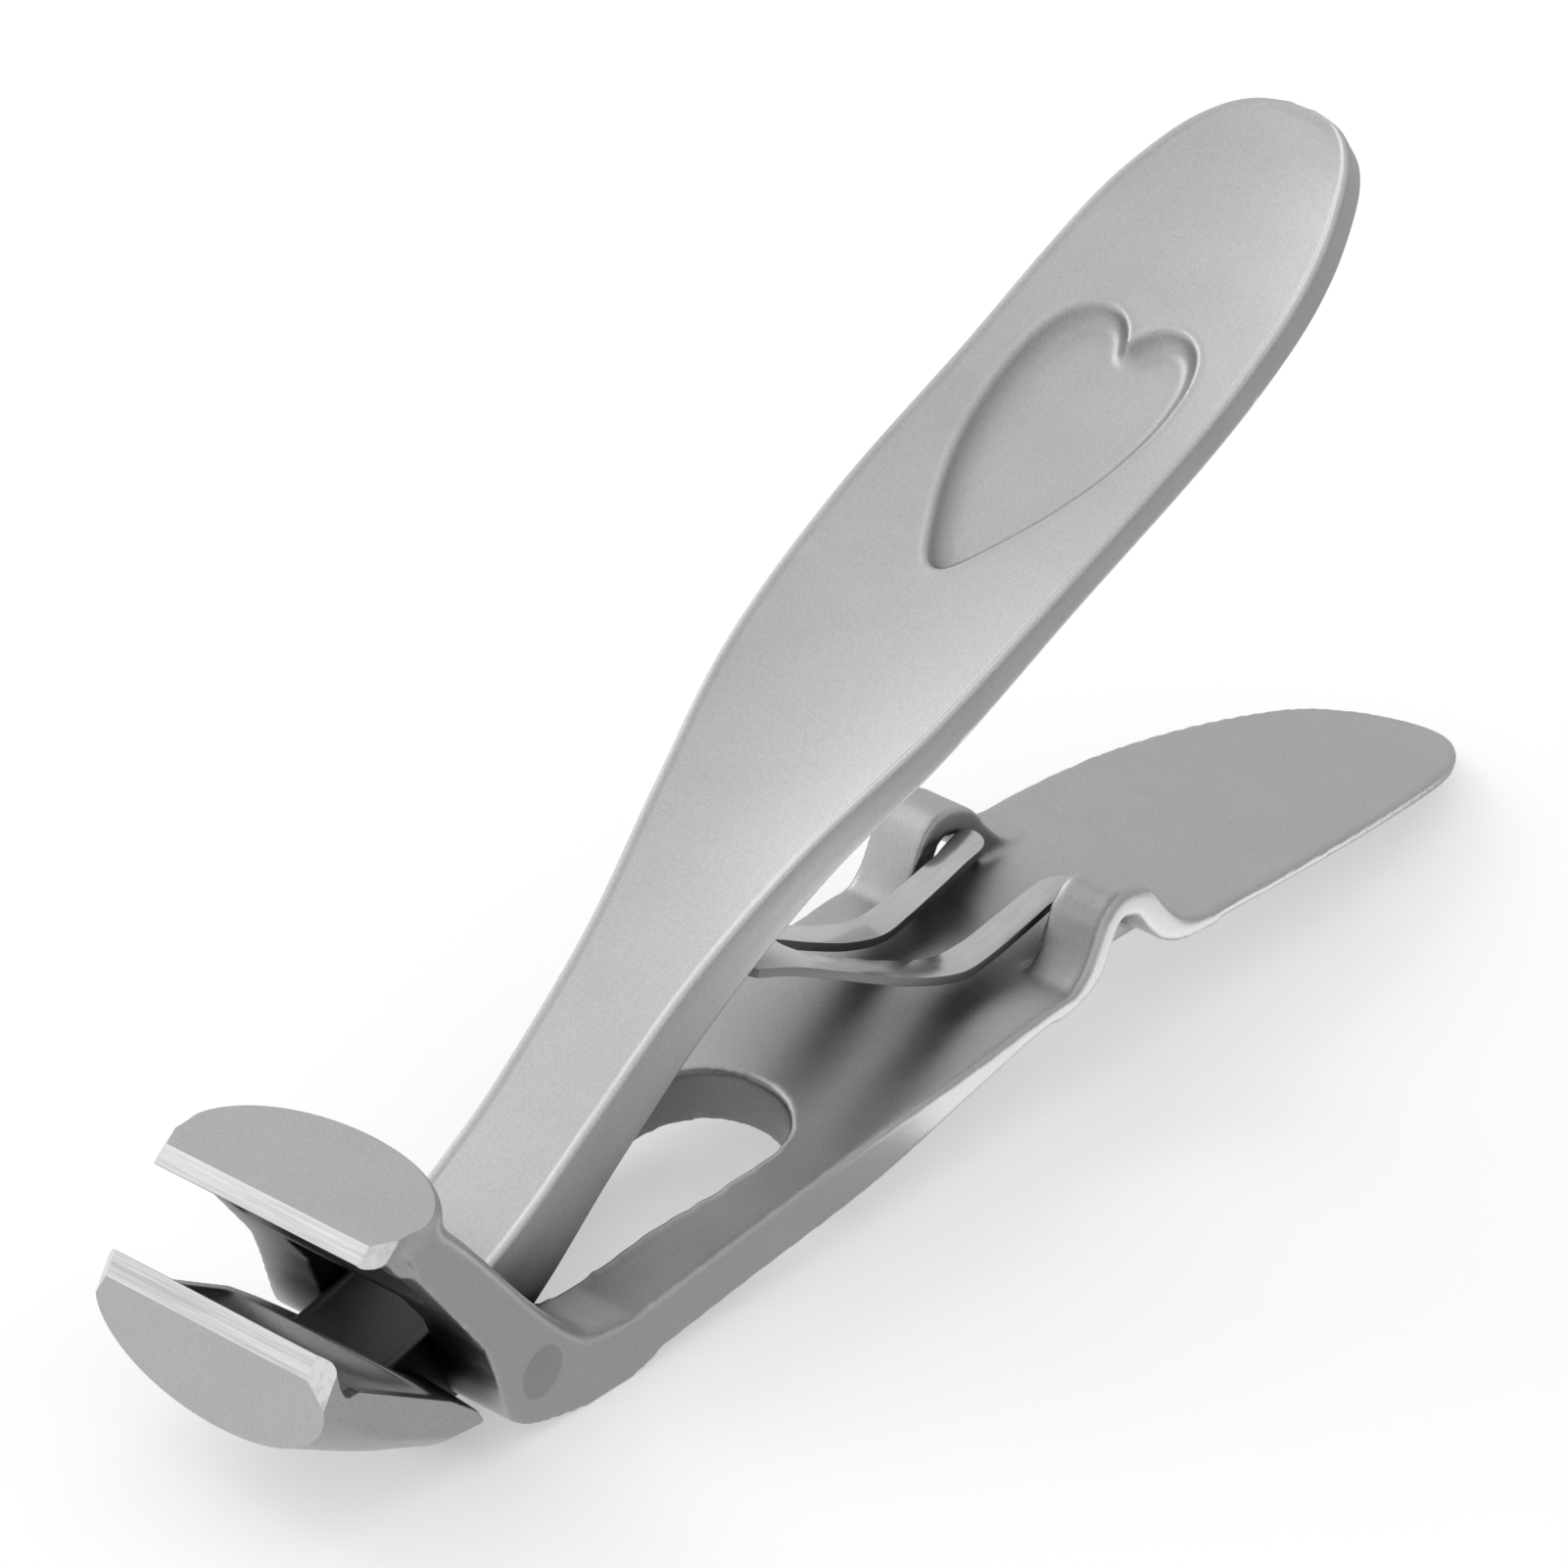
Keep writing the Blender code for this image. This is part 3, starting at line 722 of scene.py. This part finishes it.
# ---------------------------------------------------------------- materials
class Nodes:
    """Short calls for building one material's node tree."""

    def __init__(self, name):
        self.material = bpy.data.materials.new(name)
        self.material.use_nodes = True
        self.tree = self.material.node_tree
        self.shader = self.tree.nodes["Principled BSDF"]
        self.place = self.add("ShaderNodeTexCoord").outputs["Object"]

    def add(self, kind, **values):
        node = self.tree.nodes.new(kind)
        for key, value in values.items():
            setattr(node, key, value)
        return node

    def link(self, out, into):
        self.tree.links.new(out, into)

    def mapped(self, scale, turn=NO_TURN):
        node = self.add("ShaderNodeMapping")
        node.inputs["Scale"].default_value = scale
        node.inputs["Rotation"].default_value = turn
        self.link(self.place, node.inputs["Vector"])
        return node.outputs["Vector"]

    def noise(self, where, scale, detail=2.0, rough=0.5):
        node = self.add("ShaderNodeTexNoise")
        node.inputs["Scale"].default_value = scale
        node.inputs["Detail"].default_value = detail
        node.inputs["Roughness"].default_value = rough
        self.link(where, node.inputs["Vector"])
        return node.outputs["Fac"]

    def spots(self, scale, size):
        """Sparse small round pits: 1 in a pit, 0 elsewhere."""
        node = self.add("ShaderNodeTexVoronoi")
        node.inputs["Scale"].default_value = scale
        self.link(self.place, node.inputs["Vector"])
        near = self.remap(node.outputs["Distance"], size * 0.5, size, 1.0, 0.0)
        rare = self.remap(node.outputs["Color"], 0.86, 0.88, 0.0, 1.0)
        return self.math("MULTIPLY", near, rare)

    def remap(self, value, low, high, to_low, to_high):
        node = self.add("ShaderNodeMapRange")
        limits = {"From Min": low, "From Max": high, "To Min": to_low, "To Max": to_high}
        for key, number in limits.items():
            node.inputs[key].default_value = number
        self.link(value, node.inputs["Value"])
        return node.outputs["Result"]

    def math(self, operation, a, b):
        node = self.add("ShaderNodeMath", operation=operation)
        for socket, value in zip(node.inputs, (a, b)):
            if isinstance(value, (int, float)):
                socket.default_value = value
            else:
                self.link(value, socket)
        return node.outputs["Value"]

    def grey(self, value):
        node = self.add("ShaderNodeCombineColor")
        for channel in ("Red", "Green", "Blue"):
            self.link(value, node.inputs[channel])
        return node.outputs["Color"]

    def painted_recess_shade(self, reach, darkest):
        """Painted shade: darker where other surfaces stand close, as inside the jaws, by ambient occlusion.
        """
        node = self.add("ShaderNodeAmbientOcclusion", samples=6)
        node.inputs["Distance"].default_value = reach
        return self.remap(node.outputs["AO"], 0.32, 0.84, darkest, 1.0)

    def bump(self, height, strength, distance, after=None):
        node = self.add("ShaderNodeBump")
        node.inputs["Strength"].default_value = strength
        node.inputs["Distance"].default_value = distance
        self.link(height, node.inputs["Height"])
        if after is not None:
            self.link(after, node.inputs["Normal"])
        return node.outputs["Normal"]


def blasted_steel(name, grey, rough, worn_and_highlight=0.0):
    """Fine bead-blasted stainless steel: grain, faint mottling, rare pits, and edges brightened partly as
    wear and partly as painted highlight.

    The last argument is how much the edges brighten; the attribute for the walls inside the window, where a
    mesh has it, paints shade there, and painted shade darkens where other surfaces stand close.
    """
    n = Nodes(name)
    n.shader.inputs["Metallic"].default_value = 1.0
    grain = n.noise(n.place, GRAIN_SCALE, 3.0, 0.6)
    cloud = n.noise(n.place, CLOUD_SCALE, 4.0, 0.55)
    pits = n.spots(PIT_SCALE, PIT_SIZE)
    speckle = n.remap(grain, 0.3, 0.7, grey * 0.92, grey * 1.08)
    tone = n.math("ADD", speckle, n.remap(cloud, 0.3, 0.7, -0.015, 0.015))
    shine = n.remap(cloud, 0.3, 0.7, rough - 0.03, rough + 0.03)
    # Edges brightened by pointiness: partly wear, partly painted highlight.
    if worn_and_highlight:
        edge = n.remap(n.add("ShaderNodeNewGeometry").outputs["Pointiness"], 0.54, 0.62, 0.0, worn_and_highlight)
        tone = n.math("ADD", tone, edge)
        shine = n.math("ADD", shine, n.math("MULTIPLY", edge, -0.5))
    tone = n.math("MULTIPLY", tone, n.remap(pits, 0.0, 1.0, 1.0, PIT_TONE))
    # Painted shade on the walls inside the window and the head, where the mesh has the attribute.
    inner = n.add("ShaderNodeAttribute", attribute_name="painted_shade_inner_wall").outputs["Fac"]
    tone = n.math("MULTIPLY", tone, n.remap(inner, 0.0, 1.0, 1.0, INNER_WALL_PAINTED_SHADE))
    # Painted shade in hollows and between parts, by ambient occlusion.
    tone = n.math("MULTIPLY", tone, n.painted_recess_shade(PAINTED_SHADE_REACH, PAINTED_SHADE_TONE))
    n.link(n.grey(tone), n.shader.inputs["Base Color"])
    n.link(shine, n.shader.inputs["Roughness"])
    fine = n.bump(grain, 0.35, 0.00001)
    waves = n.bump(n.noise(n.place, WAVE_SCALE, 2.0), 0.25, 0.00002, fine)
    n.link(waves, n.shader.inputs["Normal"])
    return n.material


def ground_steel(name, grey, rough, scale, turn):
    """Freshly ground steel: bright, with fine parallel scratches along one direction."""
    n = Nodes(name)
    n.shader.inputs["Metallic"].default_value = 1.0
    lines = n.mapped(scale, turn)
    fine = n.noise(lines, 1.0, 3.0, 0.7)
    coarse = n.noise(n.mapped([s * 0.3 for s in scale], turn), 1.0, 2.0, 0.5)
    marks = n.math("ADD", n.math("MULTIPLY", fine, 0.6), n.math("MULTIPLY", coarse, 0.4))
    n.link(n.grey(n.remap(marks, 0.35, 0.65, grey * 0.72, grey * 1.15)), n.shader.inputs["Base Color"])
    n.link(n.remap(marks, 0.35, 0.65, rough + 0.1, rough - 0.05), n.shader.inputs["Roughness"])
    n.link(n.bump(marks, 0.5, 0.00002), n.shader.inputs["Normal"])
    return n.material


def polished_steel(name, grey, rough):
    """Polished spring steel with faint lengthwise drawing marks."""
    n = Nodes(name)
    n.shader.inputs["Metallic"].default_value = 1.0
    drawn = n.noise(n.mapped(DRAWN_SCALE), 1.0, 3.0, 0.6)
    cloud = n.noise(n.place, SPRING_CLOUD_SCALE, 3.0)
    lines = n.remap(drawn, 0.3, 0.7, grey * 0.95, grey * 1.04)
    tone = n.math("ADD", lines, n.remap(cloud, 0.3, 0.7, -0.03, 0.03))
    # Painted shade in hollows and between parts, by ambient occlusion.
    tone = n.math("MULTIPLY", tone, n.painted_recess_shade(PAINTED_SHADE_REACH, PAINTED_SHADE_TONE))
    n.link(n.grey(tone), n.shader.inputs["Base Color"])
    n.link(n.remap(cloud, 0.3, 0.7, rough - 0.04, rough + 0.06), n.shader.inputs["Roughness"])
    n.link(n.bump(drawn, 0.12, 0.00001), n.shader.inputs["Normal"])
    return n.material


# ---------------------------------------------------------------- stage, light and camera
def make_world():
    """A soft surround: brighter above, behind and to the left, darker low on the near right."""
    world = bpy.data.worlds.new("surround")
    bpy.context.scene.world = world
    world.use_nodes = True
    tree = world.node_tree
    back = tree.nodes["Background"]
    place = tree.nodes.new("ShaderNodeTexCoord")
    dot = tree.nodes.new("ShaderNodeVectorMath")
    dot.operation = "DOT_PRODUCT"
    dot.inputs[1].default_value = SURROUND_SLOPE
    tree.links.new(place.outputs["Generated"], dot.inputs[0])
    level = tree.nodes.new("ShaderNodeMath")
    level.inputs[1].default_value = SURROUND_LEVEL
    tree.links.new(dot.outputs["Value"], level.inputs[0])
    tree.links.new(level.outputs["Value"], back.inputs["Strength"])
    back.inputs["Color"].default_value = (1.0, 1.0, 1.0, 1.0)


def aim(obj, target):
    obj.rotation_euler = (Vector(target) - obj.location).to_track_quat("-Z", "Y").to_euler()


def make_lights():
    soft = bpy.data.lights.new("softbox", "AREA")
    soft.shape = "RECTANGLE"
    soft.size, soft.size_y = SOFTBOX_SIZE
    soft.energy = SOFTBOX_POWER
    box = bpy.data.objects.new("softbox", soft)
    bpy.context.scene.collection.objects.link(box)
    box.location = SOFTBOX_PLACE
    aim(box, SOFTBOX_TARGET)


def make_edge_card():
    """A low card of light beside the near rear edge of the handle."""
    data = bpy.data.lights.new("edge_card", "AREA")
    data.shape = "RECTANGLE"
    data.size, data.size_y = EDGE_CARD_SIZE
    data.energy = EDGE_CARD_POWER
    card = bpy.data.objects.new("edge_card", data)
    bpy.context.scene.collection.objects.link(card)
    card.location = PIVOT + Vector(EDGE_CARD_PLACE) * MM
    card.location.z = EDGE_CARD_HEIGHT
    card.rotation_euler = (math.pi, 0.0, 0.0)
    card.visible_camera = False


def make_floor():
    """A wide pale floor that takes shadows but doesn't darken the world's light on the steel."""
    bm = bmesh.new()
    bmesh.ops.create_grid(bm, x_segments=8, y_segments=8, size=3.0)
    mesh = bpy.data.meshes.new("floor")
    bm.to_mesh(mesh)
    bm.free()
    floor = link("floor", mesh)
    floor.location = (0.0, 0.0, -FLOOR_DROP)
    material = bpy.data.materials.new("pale_floor")
    material.use_nodes = True
    shader = material.node_tree.nodes["Principled BSDF"]
    shader.inputs["Base Color"].default_value = (FLOOR_GREY, FLOOR_GREY, FLOOR_GREY, 1.0)
    shader.inputs["Roughness"].default_value = 0.9
    shader.inputs["Specular IOR Level"].default_value = 0.0
    shader.inputs["Emission Color"].default_value = (1.0, 1.0, 1.0, 1.0)
    shader.inputs["Emission Strength"].default_value = FLOOR_GLOW
    mesh.materials.append(material)
    floor.visible_glossy = False
    floor.visible_shadow = False


def make_camera():
    camera = bpy.data.cameras.new("camera")
    camera.lens = CAMERA_LENS
    camera.sensor_width = CAMERA_SENSOR
    camera.clip_start = 0.01
    camera.clip_end = 20.0
    obj = bpy.data.objects.new("camera", camera)
    bpy.context.scene.collection.objects.link(obj)
    turn = Matrix((CAMERA_RIGHT, CAMERA_UP, CAMERA_BACK)).transposed().to_4x4()
    obj.matrix_world = Matrix.Translation(PIVOT + Vector(CAMERA_PLACE) * MM) @ turn
    bpy.context.scene.camera = obj


def paint(obj, *materials):
    """Fills the mesh's slots in order; clearing them first would lose each face's slot."""
    slots = obj.data.materials
    for index, material in enumerate(materials):
        if index < len(slots):
            slots[index] = material
        else:
            slots.append(material)


def main():
    # Both satins brighten their edges partly as wear and partly as painted highlight, more on the lever.
    satin = blasted_steel("satin_steel_blasted", grey=0.52, rough=0.4, worn_and_highlight=0.06)
    bright = blasted_steel("satin_steel_lever", grey=0.52, rough=0.4, worn_and_highlight=0.14)
    flat = blasted_steel("satin_steel_face", grey=0.56, rough=0.42)
    # Painted shade: a much darker copy of the satin for the lever's front end deep in the head.
    joint_painted_shade = blasted_steel("satin_steel_joint_painted_shade", grey=0.12, rough=0.5)
    band = ground_steel("ground_band", grey=0.78, rough=0.3, scale=BAND_SCRATCHES, turn=NO_TURN)
    facet = ground_steel("ground_facet", grey=0.98, rough=0.28, scale=FACET_SCRATCHES, turn=FACET_TURN)
    rivet = blasted_steel("rivet_steel_flush", grey=0.43, rough=0.45)
    polished = polished_steel("spring_steel_polished", grey=0.58, rough=0.17)
    # Shear-cut edge finish, darkened further as painted shade.
    sheared_edge_shade = blasted_steel("spring_steel_edge_painted_shade", grey=0.24, rough=0.5)

    body = make_body()
    paint(body, satin, band, facet, flat)
    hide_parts("handle_body")
    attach(body, "body")

    lever = make_lever()
    paint(lever, bright, joint_painted_shade)
    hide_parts("thumb_lever")
    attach(lever, "lever")

    jaw = make_lower_jaw()
    paint(jaw, flat, band, facet, flat)
    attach(jaw, "lever")

    pin = make_pin()
    paint(pin, rivet)
    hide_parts("pivot_pin")
    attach(pin, "body")

    spring = make_spring()
    paint(spring, polished, sheared_edge_shade)
    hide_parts("leaf_spring")
    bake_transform(spring)

    make_floor()
    make_world()
    make_lights()
    make_edge_card()
    make_camera()
    bpy.context.scene.view_settings.view_transform = "Standard"


main()
